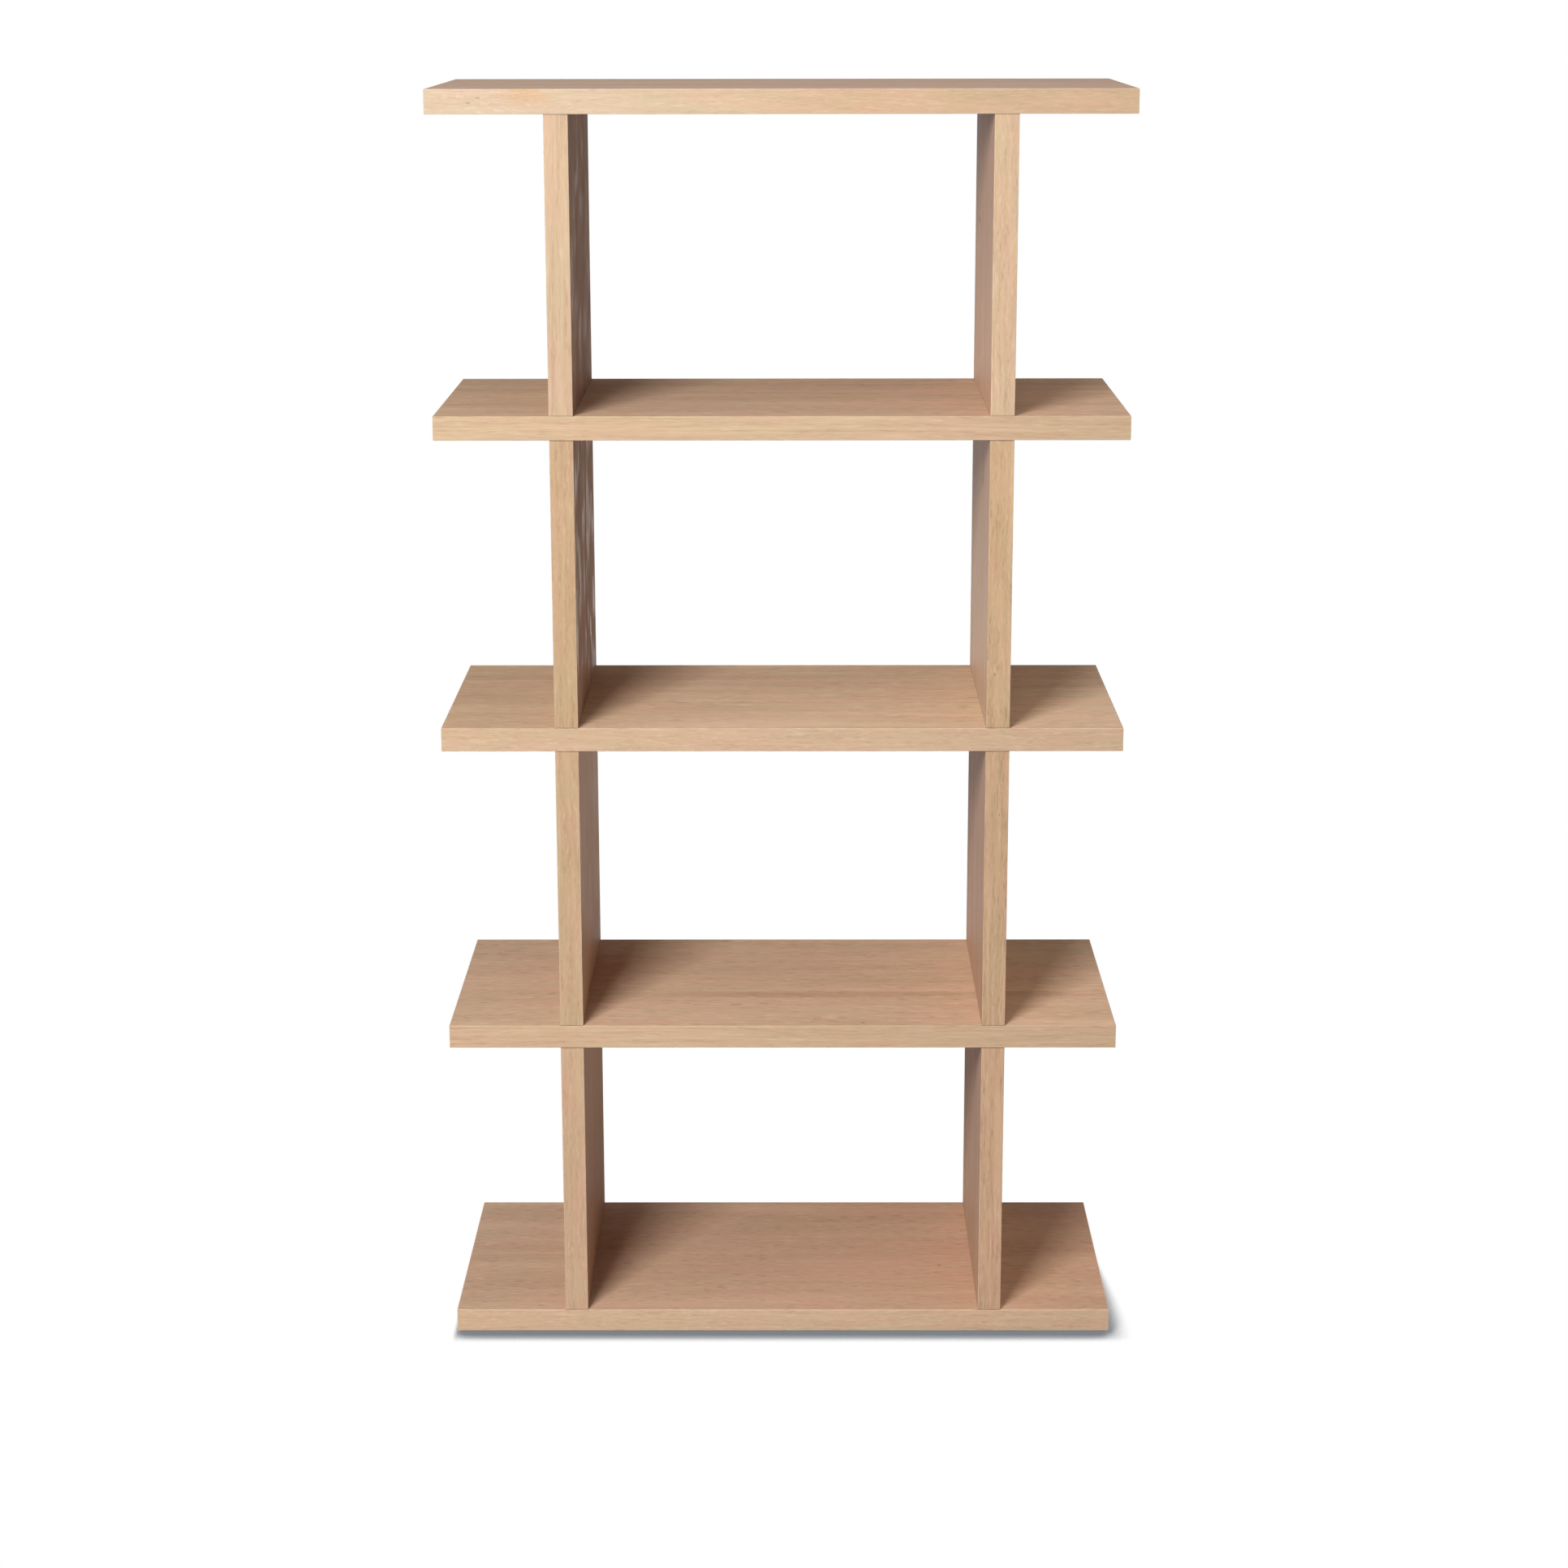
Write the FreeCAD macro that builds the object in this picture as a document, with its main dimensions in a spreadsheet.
import FreeCAD, Part
import os
import Sketcher
from collections import namedtuple
from itertools import product

# Open bookcase: five long shelves stacked on pairs of short uprights.
# Every board is a 30 mm core with an oak veneer on both faces and oak edging on its open edges.
# Cam fittings and dowels join the uprights to the shelves, and the base stands on four levelling feet.
# Millimetres. X runs along the shelves, Y from the front to the back, Z up from the floor.

SIZES = {
    # Shelves and uprights
    "shelf_length": 900,
    "shelf_depth": 400,
    "tier_height": 381,
    "shelf_overhang": 150,
    "core_thickness": 30,
    "veneer_thickness": 0.6,
    "edging_thickness": 1,
    "edging_seam": 0.05,
    "arris_radius": 0.8,
    # Clearance beside and beyond what sits in a drilled hole
    "fit_clearance": 0.1,
    "thread_clearance": 0.05,
    "hole_end_gap": 0.8,
    # Dowels
    "dowel_diameter": 8,
    "dowel_chamfer": 1,
    "dowel_in_shelf": 12,
    "dowel_in_upright": 18,
    "dowel_inset": 128,
    # Bolts of the cam fittings
    "bolt_inset": 64,
    "bolt_clearance": 0.5,
    "bolt_shank_diameter": 7,
    "bolt_neck_diameter": 4,
    "bolt_head_diameter": 6.6,
    "bolt_thread_diameter": 6,
    "bolt_thread_length": 11,
    "bolt_insert_wall": 2,
    "bolt_insert_spare": 2,
    # Cams and their covers
    "cam_diameter": 15,
    "cam_setback": 34,
    "cam_floor": 1.1,
    "cam_recess": 0.5,
    "cam_play": 0.3,
    "cam_drive_length": 8,
    "cam_drive_width": 1.8,
    "cam_drive_depth": 3,
    "cover_lap": 1.5,
    "cover_thickness": 1.2,
    "cover_peg_diameter": 4,
    "cover_peg_length": 3,
    # Levelling feet
    "foot_inset": 45,
    "foot_play": 0.2,
    "foot_insert_wall": 1.5,
    "foot_insert_length": 16,
    "pad_wall": 7.8,
    "pad_thickness": 4.5,
    "pad_floor": 1,
    "pad_lip": 1,
    "pad_chamfer": 0.8,
    "stud_diameter": 8,
    "stud_length": 24,
    "stud_disc_lip": 2,
    "stud_hex_shoulder": 2.5,
    "stud_hex_height": 3.1,
    # Wall brackets
    "bracket_inset": 50,
    "bracket_width": 30,
    "bracket_leg": 15,
    "bracket_thickness": 2,
    "wall_hole_diameter": 5,
    "screw_diameter": 4,
    "screw_length": 16,
    "screw_point_length": 4,
    "screw_head_lip": 1.8,
    "screw_head_height": 2.2,
    "screw_spacing": 16,
}

SHELVES = ["base_shelf", "lower_shelf", "middle_shelf", "upper_shelf", "top_shelf"]
SIDES = {"left": -1, "right": 1}
TIERS = range(1, len(SHELVES))
TOP = len(SHELVES) - 1
SIGNS = (-1, 1)
UPPER, LOWER, THROUGH = 1, -1, 0
HALF_TURN, THIRD_TURN = 180, 120
HEX_CORNER_PER_FLAT = 2 / 3**0.5
TOUCH = 1e-6

doc = FreeCAD.newDocument("bookcase")
sheet = doc.addObject("Spreadsheet::Sheet", "sizes")
for row, (alias, number) in enumerate(SIZES.items(), start=1):
    sheet.set(f"A{row}", alias)
    sheet.set(f"B{row}", str(number))
    sheet.setAlias(f"B{row}", alias)
doc.recompute()


class Size:
    """A length together with the spreadsheet formula that it follows."""

    def __init__(self, value, formula):
        self.value = value
        self.formula = formula

    def join(self, other, sign, result):
        return Size(result, f"({self.formula} {sign} {other.formula})")

    def __add__(self, other):
        other = as_size(other)
        return self.join(other, "+", self.value + other.value)

    def __sub__(self, other):
        other = as_size(other)
        return self.join(other, "-", self.value - other.value)

    def __mul__(self, other):
        other = as_size(other)
        return self.join(other, "*", self.value * other.value)

    def __truediv__(self, other):
        other = as_size(other)
        return self.join(other, "/", self.value / other.value)

    def __neg__(self):
        return as_size(-1) * self


def as_size(number):
    return number if isinstance(number, Size) else Size(float(number), f"({number})")


def size(alias):
    return Size(float(sheet.get(alias)), f"sizes.{alias}")


# Sizes that follow from the driving ones

BOARD = size("core_thickness") + size("veneer_thickness") * 2
HALF_LENGTH = size("shelf_length") / 2
HALF_DEPTH = size("shelf_depth") / 2
HALF_CORE_LENGTH = HALF_LENGTH - size("edging_thickness")
HALF_CORE_DEPTH = HALF_DEPTH - size("edging_thickness")
UPRIGHT_X = HALF_LENGTH - size("shelf_overhang") - BOARD / 2
BOLT_Y = HALF_DEPTH - size("bolt_inset")
DOWEL_Y = HALF_DEPTH - size("dowel_inset")
DOWEL_HOLE = size("dowel_diameter") / 2 + size("fit_clearance")

BOLT_BORE = size("bolt_shank_diameter") / 2 + size("bolt_clearance")
BOLT_THREAD_HOLE = size("bolt_thread_diameter") / 2 + size("thread_clearance")
BOLT_INSERT = BOLT_THREAD_HOLE + size("bolt_insert_wall")
BOLT_INSERT_LENGTH = size("bolt_thread_length") + size("bolt_insert_spare")
CAM_HOLE = size("cam_diameter") / 2
CAM_BELOW_BOLT = size("bolt_head_diameter") / 2 + size("cam_play") + size("cam_floor")
BOLT_STEP = size("cam_setback") - CAM_HOLE - size("hole_end_gap")

FOOT_X = HALF_LENGTH - size("foot_inset")
FOOT_Y = HALF_DEPTH - size("foot_inset")
STUD_HOLE = size("stud_diameter") / 2 + size("thread_clearance")
FOOT_INSERT = STUD_HOLE + size("foot_insert_wall")
STUD_DISC = size("stud_diameter") / 2 + size("stud_disc_lip")
HEX_BOTTOM = size("pad_thickness") + size("foot_play")
HEX_TOP = HEX_BOTTOM + size("stud_hex_height")
FOOT_HEIGHT = HEX_TOP + size("foot_play")

BRACKET_X = UPRIGHT_X - BOARD / 2 - size("bracket_inset")
BRACKET_HOLE_INSET = (size("bracket_leg") + size("bracket_thickness")) / 2
SCREW_HOLE = size("screw_diameter") / 2 + size("thread_clearance")


def shelf_bottom(index):
    """Height of the underside of a shelf, counted from the base."""
    return FOOT_HEIGHT + (BOARD + size("tier_height")) * index


def shelf_top(index):
    return shelf_bottom(index) + BOARD


def four_ways(x, y):
    return [(x * sx, y * sy) for sx, sy in product(SIGNS, SIGNS)]


# Building blocks


def bind(item, prop, value):
    item.setExpression(prop, as_size(value).formula)


def place(item, x=0, y=0, z=0, rotation=None):
    """Stands an object at x, y, z, each tied to the sheet."""
    item.Placement = FreeCAD.Placement(FreeCAD.Vector(), rotation or FreeCAD.Rotation())
    for axis, value in zip("xyz", (x, y, z)):
        bind(item, f"Placement.Base.{axis}", value)
    return item


def turn(axis, degrees):
    return FreeCAD.Rotation(FreeCAD.Vector(*axis), degrees)


def new_body(label):
    body = doc.addObject("PartDesign::Body", label)
    body.Label = label
    return body


def new_sketch(body, plane, level=0):
    """An empty sketch on one of the body's own planes, raised by level."""
    sketch = body.newObject("Sketcher::SketchObject", f"{body.Name}_outline")
    support = next(p for p in body.Origin.OriginFeatures if p.Role == f"{plane}_Plane")
    sketch.AttachmentSupport = [(support, "")]
    sketch.MapMode = "FlatFace"
    bind(sketch, "AttachmentOffset.Base.z", level)
    return sketch


def tie_point(sketch, geometry, end, x, y):
    for kind, value in (("DistanceX", as_size(x)), ("DistanceY", as_size(y))):
        index = sketch.addConstraint(Sketcher.Constraint(kind, -1, 1, geometry, end, value.value))
        bind(sketch, f"Constraints[{index}]", value)


def draw_polygon(sketch, points):
    """A closed outline of straight lines whose corners are tied to the sheet."""
    corners = [FreeCAD.Vector(as_size(x).value, as_size(y).value, 0) for x, y in points]
    after = corners[1:] + corners[:1]
    lines = [sketch.addGeometry(Part.LineSegment(a, b)) for a, b in zip(corners, after)]
    for line, following in zip(lines, lines[1:] + lines[:1]):
        sketch.addConstraint(Sketcher.Constraint("Coincident", line, 2, following, 1))
    for line, (x, y) in zip(lines, points):
        tie_point(sketch, line, 1, x, y)


def draw_rectangle(sketch, x_low, x_high, y_low, y_high):
    draw_polygon(sketch, [(x_low, y_low), (x_high, y_low), (x_high, y_high), (x_low, y_high)])


def draw_circle(sketch, x, y, radius):
    centre = FreeCAD.Vector(as_size(x).value, as_size(y).value, 0)
    circle = sketch.addGeometry(Part.Circle(centre, FreeCAD.Vector(0, 0, 1), radius.value))
    tie_point(sketch, circle, 3, x, y)
    index = sketch.addConstraint(Sketcher.Constraint("Radius", circle, radius.value))
    bind(sketch, f"Constraints[{index}]", radius)


def add_pad(body, sketch, length, reverse=False, midplane=False):
    pad = body.newObject("PartDesign::Pad", f"{body.Name}_pad")
    pad.Profile = sketch
    pad.Reversed = reverse
    pad.Midplane = midplane
    bind(pad, "Length", length)
    doc.recompute()


def cut_pocket(body, sketch, depth=None, reverse=False, midplane=False):
    """Cuts a sketch into the body, right through it where no depth is given."""
    before = body.Shape.Volume
    pocket = body.newObject("PartDesign::Pocket", f"{body.Name}_pocket")
    pocket.Profile = sketch
    pocket.Reversed = reverse
    pocket.Midplane = midplane
    if depth is None:
        pocket.Type = "ThroughAll"
    else:
        bind(pocket, "Length", depth)
    doc.recompute()
    if body.Shape.Volume >= before:
        raise RuntimeError(f"{pocket.Label} cuts nothing")


def add_revolution(body, points):
    """A turned piece about Z, from its outline as (radius, height) points."""
    sketch = new_sketch(body, "XZ")
    draw_polygon(sketch, points)
    revolution = body.newObject("PartDesign::Revolution", f"{body.Name}_turned")
    revolution.Profile = sketch
    revolution.ReferenceAxis = (sketch, ["V_Axis"])
    doc.recompute()


def round_arrises(body, half_sizes):
    """Rounds the body's edges that lie on two of the outer planes given by its half sizes."""

    def lies_on(edge, axis, half):
        middle = edge.valueAt((edge.FirstParameter + edge.LastParameter) / 2)
        points = [vertex.Point for vertex in edge.Vertexes] + [middle]
        return all(abs(abs(point[axis]) - half.value) < TOUCH for point in points)

    base = body.Tip
    names = []
    for number, edge in enumerate(base.Shape.Edges, start=1):
        if sum(lies_on(edge, axis, half) for axis, half in enumerate(half_sizes)) == 2:
            names.append(f"Edge{number}")
    fillet = body.newObject("PartDesign::Fillet", f"{body.Name}_arris")
    fillet.Base = (base, names)
    bind(fillet, "Radius", size("arris_radius"))
    doc.recompute()


def group_copies(label, master, placements):
    """Linked copies of one piece, held together as a named group."""
    copies = []
    for x, y, z, rotation in placements:
        copy = doc.addObject("App::Link", f"{label}_copy")
        copy.LinkedObject = master
        copies.append(place(copy, x, y, z, rotation))
    group = doc.addObject("Part::Compound", label)
    group.Label = label
    group.Links = copies
    return group


# Holes drilled in the shelves, each kind at four places, with its depth from the face that it enters

Hole = namedtuple("Hole", "face places radius depth")


def dowel_holes(face):
    depth = size("dowel_in_shelf") + size("hole_end_gap")
    return Hole(face, four_ways(UPRIGHT_X, DOWEL_Y), DOWEL_HOLE, depth)


def end_bolt_holes(face):
    radius = BOLT_INSERT + size("fit_clearance")
    return Hole(face, four_ways(UPRIGHT_X, BOLT_Y), radius, BOLT_INSERT_LENGTH + size("hole_end_gap"))


def through_bolt_holes():
    return Hole(THROUGH, four_ways(UPRIGHT_X, BOLT_Y), BOLT_BORE, BOARD)


def foot_holes():
    """Holes for the threaded inserts, deep enough for the studs' upper ends."""
    depth = HEX_TOP + size("stud_length") + size("hole_end_gap") - FOOT_HEIGHT
    return Hole(LOWER, four_ways(FOOT_X, FOOT_Y), FOOT_INSERT + size("fit_clearance"), depth)


def bracket_screw_holes():
    half = size("screw_spacing") / 2
    y = HALF_DEPTH - BRACKET_HOLE_INSET
    places = [(BRACKET_X * side + half * sign, y) for side, sign in product(SIGNS, SIGNS)]
    depth = size("screw_length") - size("bracket_thickness") + size("hole_end_gap")
    return Hole(LOWER, places, SCREW_HOLE, depth)


def holes_of(index):
    if index == 0:
        return [dowel_holes(UPPER), end_bolt_holes(UPPER), foot_holes()]
    if index == TOP:
        return [dowel_holes(LOWER), end_bolt_holes(LOWER), bracket_screw_holes()]
    return [dowel_holes(UPPER), dowel_holes(LOWER), through_bolt_holes()]


# Shelves, modelled about the middle of their thickness


def place_shelf(body, index):
    return place(body, z=shelf_bottom(index) + BOARD / 2)


def draw_hole(sketch, hole):
    for x, y in hole.places:
        draw_circle(sketch, x, y, hole.radius)


def shelf_core(index):
    body = new_body(f"{SHELVES[index]}_core")
    outline = new_sketch(body, "XY")
    draw_rectangle(outline, -HALF_CORE_LENGTH, HALF_CORE_LENGTH, -HALF_CORE_DEPTH, HALF_CORE_DEPTH)
    add_pad(body, outline, size("core_thickness"), midplane=True)
    for hole in holes_of(index):
        side = LOWER if hole.face == LOWER else UPPER
        sketch = new_sketch(body, "XY", size("core_thickness") / 2 * side)
        draw_hole(sketch, hole)
        depth = None if hole.face == THROUGH else hole.depth - size("veneer_thickness")
        cut_pocket(body, sketch, depth, reverse=side == LOWER)
    return place_shelf(body, index)


def shelf_veneers(index):
    """The two sheets on a shelf's faces, drilled like the core under them."""
    body = new_body(f"{SHELVES[index]}_veneers")
    for face in (UPPER, LOWER):
        sketch = new_sketch(body, "XY", size("core_thickness") / 2 * face)
        draw_rectangle(sketch, -HALF_CORE_LENGTH, HALF_CORE_LENGTH, -HALF_CORE_DEPTH, HALF_CORE_DEPTH)
        for hole in holes_of(index):
            if hole.face in (face, THROUGH):
                draw_hole(sketch, hole)
        add_pad(body, sketch, size("veneer_thickness"), reverse=face == LOWER)
    return place_shelf(body, index)


def shelf_edging(index):
    """Front and back strips run the full length, and the end strips fit between them."""
    body = new_body(f"{SHELVES[index]}_edging")
    sketch = new_sketch(body, "XY")
    end_y = HALF_CORE_DEPTH - size("edging_seam")
    draw_rectangle(sketch, -HALF_LENGTH, HALF_LENGTH, HALF_CORE_DEPTH, HALF_DEPTH)
    draw_rectangle(sketch, -HALF_LENGTH, HALF_LENGTH, -HALF_DEPTH, -HALF_CORE_DEPTH)
    draw_rectangle(sketch, HALF_CORE_LENGTH, HALF_LENGTH, -end_y, end_y)
    draw_rectangle(sketch, -HALF_LENGTH, -HALF_CORE_LENGTH, -end_y, end_y)
    add_pad(body, sketch, BOARD, midplane=True)
    round_arrises(body, (HALF_LENGTH, HALF_DEPTH, BOARD / 2))
    return place_shelf(body, index)


# Uprights, modelled with their lower end at zero and their outer face towards +X


def upright_name(side, tier):
    return f"{side}_upright_{tier}"


def place_upright(body, side, tier):
    rotation = turn((0, 0, 1), 0 if SIDES[side] > 0 else HALF_TURN)
    return place(body, x=UPRIGHT_X * SIDES[side], z=shelf_top(tier - 1), rotation=rotation)


def draw_cam_holes(sketch):
    heights = (size("cam_setback"), size("tier_height") - size("cam_setback"))
    for sign, height in product(SIGNS, heights):
        draw_circle(sketch, BOLT_Y * sign, height, CAM_HOLE)


def upright_core(side, tier):
    body = new_body(f"{upright_name(side, tier)}_core")
    half = size("core_thickness") / 2
    outline = new_sketch(body, "XY")
    draw_rectangle(outline, -half, half, -HALF_CORE_DEPTH, HALF_CORE_DEPTH)
    add_pad(body, outline, size("tier_height"))
    dowel_depth = size("dowel_in_upright") + size("hole_end_gap")
    end_holes = ((DOWEL_Y, DOWEL_HOLE, dowel_depth), (BOLT_Y, BOLT_BORE, size("cam_setback")))
    for level, lower in ((0, True), (size("tier_height"), False)):
        for y, radius, depth in end_holes:
            sketch = new_sketch(body, "XY", level)
            for sign in SIGNS:
                draw_circle(sketch, 0, y * sign, radius)
            cut_pocket(body, sketch, depth, reverse=lower)
    cams = new_sketch(body, "YZ", half)
    draw_cam_holes(cams)
    cut_pocket(body, cams, half + CAM_BELOW_BOLT)
    return place_upright(body, side, tier)


def upright_veneers(side, tier):
    """The two sheets on an upright's faces, with the cam holes in the outer one."""
    body = new_body(f"{upright_name(side, tier)}_veneers")
    for face in SIGNS:
        sketch = new_sketch(body, "YZ", size("core_thickness") / 2 * face)
        draw_rectangle(sketch, -HALF_CORE_DEPTH, HALF_CORE_DEPTH, 0, size("tier_height"))
        if face > 0:
            draw_cam_holes(sketch)
        add_pad(body, sketch, size("veneer_thickness"), reverse=face < 0)
    return place_upright(body, side, tier)


def upright_edging(side, tier):
    body = new_body(f"{upright_name(side, tier)}_edging")
    sketch = new_sketch(body, "XY")
    draw_rectangle(sketch, -BOARD / 2, BOARD / 2, HALF_CORE_DEPTH, HALF_DEPTH)
    draw_rectangle(sketch, -BOARD / 2, BOARD / 2, -HALF_DEPTH, -HALF_CORE_DEPTH)
    add_pad(body, sketch, size("tier_height"))
    round_arrises(body, (BOARD / 2, HALF_DEPTH))
    return place_upright(body, side, tier)


# Joints between the uprights and the shelves


def joints():
    """Each end of each upright: its side, the height of the shelf's face, and whether it is the lower end."""
    for tier, side in product(TIERS, SIDES.values()):
        yield side, shelf_top(tier - 1), True
        yield side, shelf_bottom(tier), False


def upside_down(lower):
    return turn((1, 0, 0), 0 if lower else HALF_TURN)


def dowel_group():
    """Dowels with chamfered ends, from the shelf into the upright's end."""
    master = new_body("dowel")
    radius = size("dowel_diameter") / 2
    rise = size("dowel_chamfer")
    slim = radius - rise
    low, high = -size("dowel_in_shelf"), size("dowel_in_upright")
    lower_end = [(0, low), (slim, low), (radius, low + rise)]
    upper_end = [(radius, high - rise), (slim, high), (0, high)]
    add_revolution(master, lower_end + upper_end)
    places = [
        (UPRIGHT_X * side, DOWEL_Y * sign, z, upside_down(lower))
        for (side, z, lower), sign in product(joints(), SIGNS)
    ]
    return group_copies("wooden_dowels", master, places)


def bolt_tip(middle, step):
    """Outline of a bolt's shank and neck, up to the middle of its ball head."""
    shank = size("bolt_shank_diameter") / 2
    neck = size("bolt_neck_diameter") / 2
    return [(shank, step), (neck, step), (neck, middle), (0, middle)]


def add_bolt_head(body, middle):
    head = body.newObject("PartDesign::AdditiveSphere", f"{body.Name}_head")
    bind(head, "Radius", size("bolt_head_diameter") / 2)
    place(head, z=middle)
    doc.recompute()


def end_bolt_places():
    ends = ((shelf_top(0), True), (shelf_bottom(TOP), False))
    spots = four_ways(UPRIGHT_X, BOLT_Y)
    return [(x, y, z, upside_down(lower)) for (z, lower), (x, y) in product(ends, spots)]


def end_bolt_group():
    """Bolts with one ball head, screwed into the base and the top shelf."""
    master = new_body("end_bolt")
    thread = size("bolt_thread_diameter") / 2
    low = -size("bolt_thread_length")
    middle = size("cam_setback")
    threaded_end = [(0, low), (thread, low), (thread, 0), (size("bolt_shank_diameter") / 2, 0)]
    add_revolution(master, threaded_end + bolt_tip(middle, BOLT_STEP))
    add_bolt_head(master, middle)
    return group_copies("end_bolts", master, end_bolt_places())


def bolt_insert_group():
    """Threaded sleeves that take the end bolts, flush with the shelf's face."""
    master = new_body("bolt_insert")
    low = -BOLT_INSERT_LENGTH
    inner, outer = BOLT_THREAD_HOLE, BOLT_INSERT
    add_revolution(master, [(inner, low), (outer, low), (outer, 0), (inner, 0)])
    return group_copies("bolt_inserts", master, end_bolt_places())


def through_bolt_group():
    """Bolts with a ball head at both ends, through the three middle shelves."""
    master = new_body("through_bolt")
    middle = BOARD / 2 + size("cam_setback")
    upper = bolt_tip(middle, BOARD / 2 + BOLT_STEP)
    lower = [(r, -z) for r, z in reversed(upper)]
    add_revolution(master, lower + upper)
    add_bolt_head(master, middle)
    add_bolt_head(master, -middle)
    levels = [shelf_bottom(index) + BOARD / 2 for index in range(1, TOP)]
    places = [(x, y, z, None) for z, (x, y) in product(levels, four_ways(UPRIGHT_X, BOLT_Y))]
    return group_copies("through_bolts", master, places)


def cam_body():
    """Cam about Z, zero at the bolt's axis.

    The ball head goes in from +Y, and after a half turn the lips at -Y hold it by the neck.
    """
    body = new_body("cam")
    bottom = size("fit_clearance") - CAM_BELOW_BOLT
    face = BOARD / 2 - size("cam_recess")
    outline = new_sketch(body, "XY", bottom)
    draw_circle(outline, 0, 0, CAM_HOLE - size("fit_clearance"))
    add_pad(body, outline, face - bottom)
    head_room = size("bolt_head_diameter") / 2 + size("cam_play")
    neck_room = size("bolt_neck_diameter") / 2 + size("cam_play")
    neck_slot = new_sketch(body, "XY")
    draw_rectangle(neck_slot, -neck_room, CAM_HOLE, -CAM_HOLE, CAM_HOLE)
    cut_pocket(body, neck_slot, neck_room * 2, midplane=True)
    head_seat = new_sketch(body, "XY")
    draw_circle(head_seat, 0, 0, head_room)
    cut_pocket(body, head_seat, head_room * 2, midplane=True)
    head_way = new_sketch(body, "XY")
    draw_rectangle(head_way, -head_room, head_room, 0, CAM_HOLE)
    cut_pocket(body, head_way, head_room * 2, midplane=True)
    cut_drive(body, face)
    return body


def cut_drive(body, face):
    """Cross recess for a screwdriver, with a round middle that takes the cover's peg."""
    half_long = size("cam_drive_length") / 2
    half_wide = size("cam_drive_width") / 2
    for x, y in ((half_long, half_wide), (half_wide, half_long)):
        bar = new_sketch(body, "XY", face)
        draw_rectangle(bar, -x, x, -y, y)
        cut_pocket(body, bar, size("cam_drive_depth"))
    middle = new_sketch(body, "XY", face)
    draw_circle(middle, 0, 0, size("cover_peg_diameter") / 2 + size("fit_clearance"))
    cut_pocket(body, middle, size("cover_peg_length"))


def cam_places():
    """Cams and covers face out of the uprights, with the side that holds the bolt towards the shelf."""
    for (side, z, lower), sign in product(joints(), SIGNS):
        height = z + size("cam_setback") if lower else z - size("cam_setback")
        facing = turn((0, 0, 1), 0 if side > 0 else HALF_TURN)
        rotation = facing * upside_down(lower) * turn((1, 1, 1), THIRD_TURN)
        yield UPRIGHT_X * side, BOLT_Y * sign, height, rotation


def cam_group():
    return group_copies("cam_locks", cam_body(), cam_places())


def cover_group():
    """Round covers that lie on the veneer and plug into the cams."""
    master = new_body("cover")
    flat = BOARD / 2
    low, high = flat - size("cover_peg_length"), flat + size("cover_thickness")
    peg = size("cover_peg_diameter") / 2
    rim = CAM_HOLE + size("cover_lap")
    bevel = size("cover_thickness") / 2
    peg_side = [(0, low), (peg, low), (peg, flat)]
    cap_side = [(rim, flat), (rim, flat + bevel), (rim - bevel, high), (0, high)]
    add_revolution(master, peg_side + cap_side)
    return group_copies("cam_covers", master, cam_places())


# Levelling feet


def foot_corners():
    depths = {"front": -1, "back": 1}
    for (side, sx), (depth, sy) in product(SIDES.items(), depths.items()):
        yield f"{depth}_{side}", FOOT_X * sx, FOOT_Y * sy


def foot_pad(corner, x, y):
    """Plastic pad with a socket that keeps the stud's disc."""
    body = new_body(f"foot_pad_{corner}")
    mouth = size("stud_diameter") / 2 + size("foot_play")
    socket = STUD_DISC + size("foot_play")
    rim = socket + size("pad_wall")
    rise = size("pad_chamfer")
    high = size("pad_thickness")
    floor, lip = size("pad_floor"), high - size("pad_lip")
    outside = [(0, 0), (rim - rise, 0), (rim, rise), (rim, high - rise), (rim - rise, high)]
    inside = [(mouth, high), (mouth, lip), (socket, lip), (socket, floor), (0, floor)]
    add_revolution(body, outside + inside)
    return place(body, x, y)


def foot_stud(corner, x, y):
    """Threaded stud with a hexagon to turn it by, and a disc at its lower end."""
    body = new_body(f"foot_stud_{corner}")
    radius = size("stud_diameter") / 2
    low = size("pad_floor") + size("foot_play")
    step = size("pad_thickness") - size("pad_lip") - size("foot_play")
    high = HEX_TOP + size("stud_length")
    disc_end = [(0, low), (STUD_DISC, low), (STUD_DISC, step)]
    add_revolution(body, disc_end + [(radius, step), (radius, high), (0, high)])
    flat = radius + size("stud_hex_shoulder")
    tip = flat * HEX_CORNER_PER_FLAT
    hexagon = new_sketch(body, "XY", HEX_BOTTOM)
    upper_half = [(tip, 0), (tip / 2, flat), (-tip / 2, flat)]
    draw_polygon(hexagon, upper_half + [(-px, -py) for px, py in upper_half])
    add_pad(body, hexagon, size("stud_hex_height"))
    return place(body, x, y)


def foot_insert_group():
    """Threaded sleeves in the underside of the base."""
    master = new_body("foot_insert")
    high = size("foot_insert_length")
    add_revolution(master, [(STUD_HOLE, 0), (FOOT_INSERT, 0), (FOOT_INSERT, high), (STUD_HOLE, high)])
    places = [(x, y, shelf_bottom(0), None) for x, y in four_ways(FOOT_X, FOOT_Y)]
    return group_copies("foot_inserts", master, places)


# Wall brackets under the back of the top shelf


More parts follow.
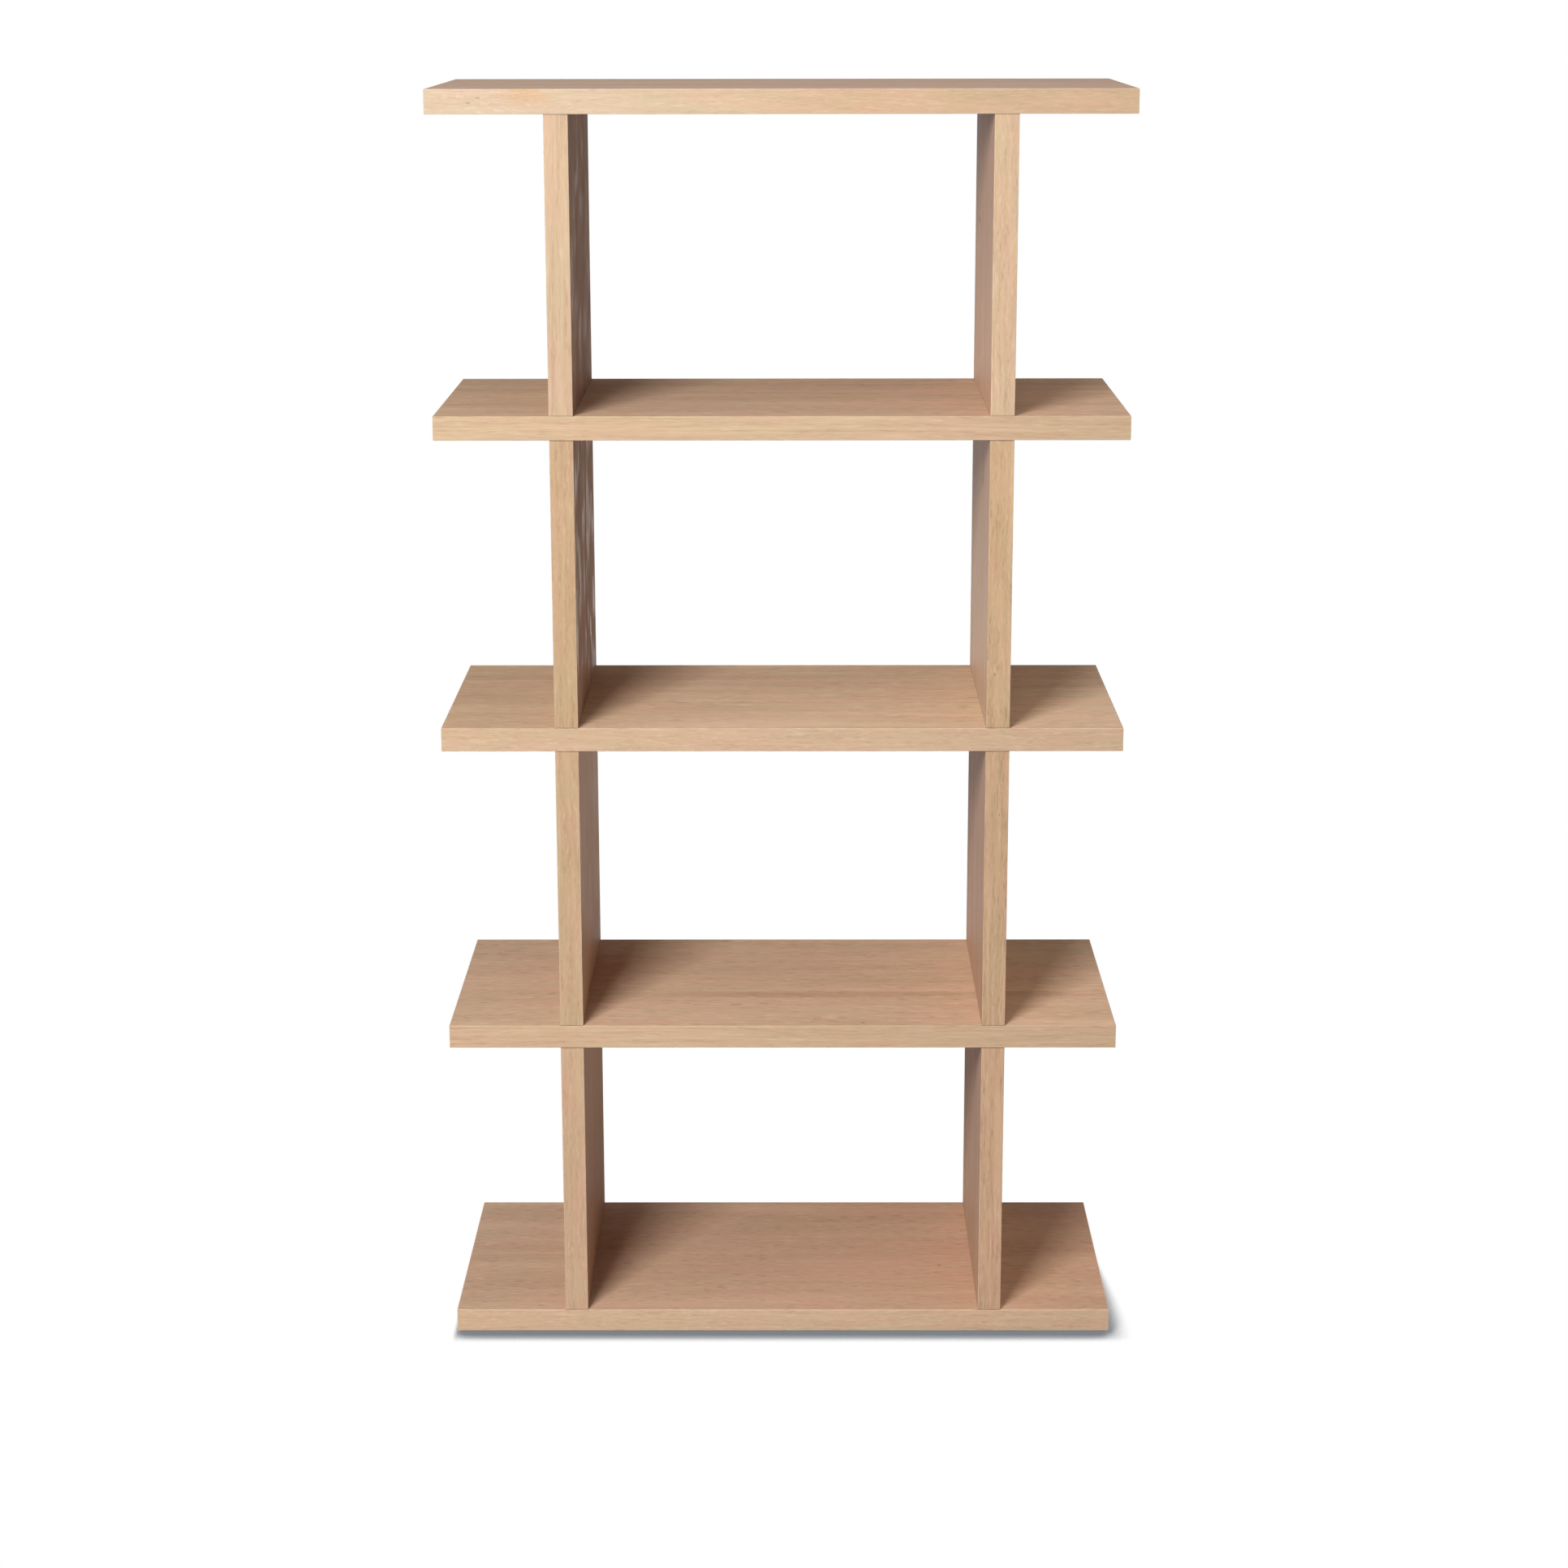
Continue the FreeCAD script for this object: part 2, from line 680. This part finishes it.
def bracket_group():
    """Small angles, flush with the back, each with one hole for a wall screw."""
    master = new_body("bracket")
    leg, wall = size("bracket_leg"), size("bracket_thickness")
    profile = new_sketch(master, "YZ")
    draw_polygon(profile, [(0, 0), (-leg, 0), (-leg, -wall), (-wall, -wall), (-wall, -leg), (0, -leg)])
    add_pad(master, profile, size("bracket_width"), midplane=True)
    wall_hole = new_sketch(master, "XZ")
    draw_circle(wall_hole, 0, -BRACKET_HOLE_INSET, size("wall_hole_diameter") / 2)
    cut_pocket(master, wall_hole, wall * 2, midplane=True)
    screw_holes = new_sketch(master, "XY")
    for sign in SIGNS:
        draw_circle(screw_holes, size("screw_spacing") / 2 * sign, -BRACKET_HOLE_INSET, SCREW_HOLE)
    cut_pocket(master, screw_holes, wall * 2, midplane=True)
    places = [(BRACKET_X * side, HALF_DEPTH, shelf_bottom(TOP), None) for side in SIGNS]
    return group_copies("wall_brackets", master, places)


def bracket_screw_group():
    """Screws that point up through the brackets into the top shelf."""
    master = new_body("bracket_screw")
    shank = size("screw_diameter") / 2
    head = shank + size("screw_head_lip")
    low, high = -size("screw_head_height"), size("screw_length")
    shoulder = high - size("screw_point_length")
    add_revolution(master, [(0, low), (shank, low), (head, 0), (shank, 0), (shank, shoulder), (0, high)])
    z = shelf_bottom(TOP) - size("bracket_thickness")
    places = [(x, y, z, None) for x, y in bracket_screw_holes().places]
    return group_copies("bracket_screws", master, places)


def build():
    parts = []
    for index in range(len(SHELVES)):
        parts += [shelf_core(index), shelf_veneers(index), shelf_edging(index)]
    for tier, side in product(TIERS, SIDES):
        parts += [upright_core(side, tier), upright_veneers(side, tier), upright_edging(side, tier)]
    parts += [dowel_group(), end_bolt_group(), bolt_insert_group(), through_bolt_group()]
    parts += [cam_group(), cover_group(), foot_insert_group()]
    for corner, x, y in foot_corners():
        parts += [foot_pad(corner, x, y), foot_stud(corner, x, y)]
    parts += [bracket_group(), bracket_screw_group()]
    doc.recompute()
    return parts


def check(parts):
    for item in doc.Objects:
        if "Invalid" in item.State or "Error" in item.State:
            raise RuntimeError(f"{item.Label} failed: {item.State}")
    for part in parts:
        if part.Shape.isNull() or not part.Shape.isValid():
            raise RuntimeError(f"{part.Label} has no valid shape")


def export(parts):
    os.makedirs("parts", exist_ok=True)
    for part in parts:
        part.Shape.exportStep(f"parts/{part.Label}.step")


subparts = build()
check(subparts)
export(subparts)
print(f"{len(subparts)} sub-parts, {sum(len(part.Shape.Solids) for part in subparts)} solids")
